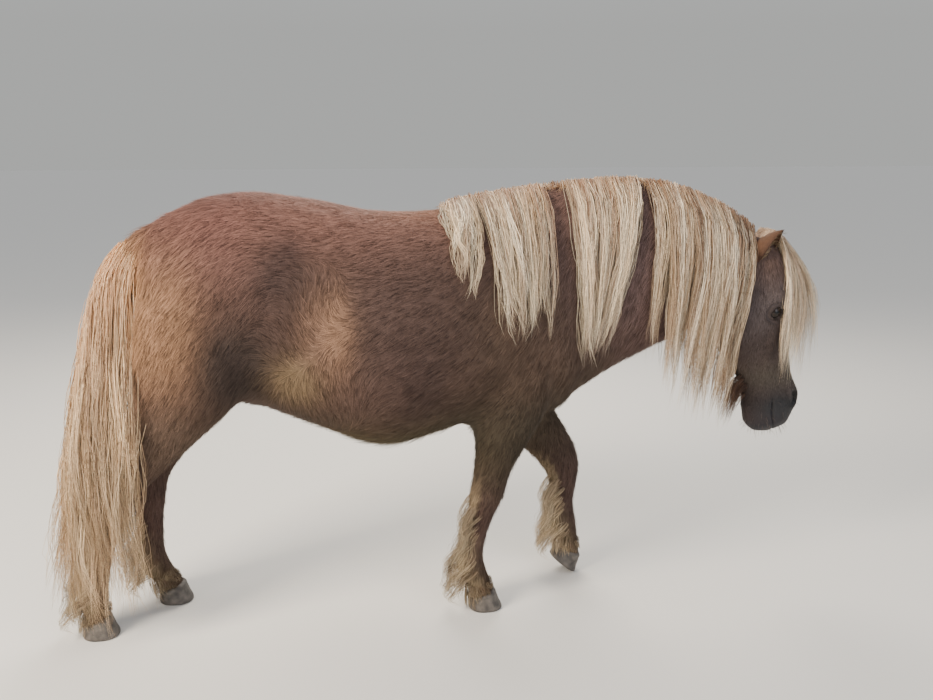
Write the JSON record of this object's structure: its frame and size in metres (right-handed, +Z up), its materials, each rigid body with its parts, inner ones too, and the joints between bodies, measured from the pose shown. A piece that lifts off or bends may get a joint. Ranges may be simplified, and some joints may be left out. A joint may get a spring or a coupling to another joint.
{
  "type": "shetland pony",
  "caption": "Life-size chestnut Shetland pony in a slow walk, with a thick flaxen mane, forelock and tail and feathered fetlocks; a still figure.",
  "frame": {"origin": "on the floor under the centre of the bounding box", "axes": "+X towards the head, +Y towards the pony's left side, +Z up"},
  "size_m": [1.8716, 0.5358, 1.0428],
  "materials": {
    "coat": "chestnut hair with flaxen mane, matt with a slight sheen",
    "hair": "long flaxen hair",
    "horn": "worn grey horn",
    "eye": "dark and wet"
  },
  "bodies": {
    "root": {"torso": "coat", "neck": "coat", "head": "coat", "tail": "hair", "ear_right": "coat", "ear_left": "coat", "eye_right": "eye", "eye_left": "eye", "foreleg_right": "coat", "foreleg_left": "coat", "hindleg_right": "coat", "hindleg_left": "coat", "hoof_fore_right": "horn", "hoof_fore_left": "horn", "hoof_hind_right": "horn", "hoof_hind_left": "horn"}
  },
  "joints": []
}
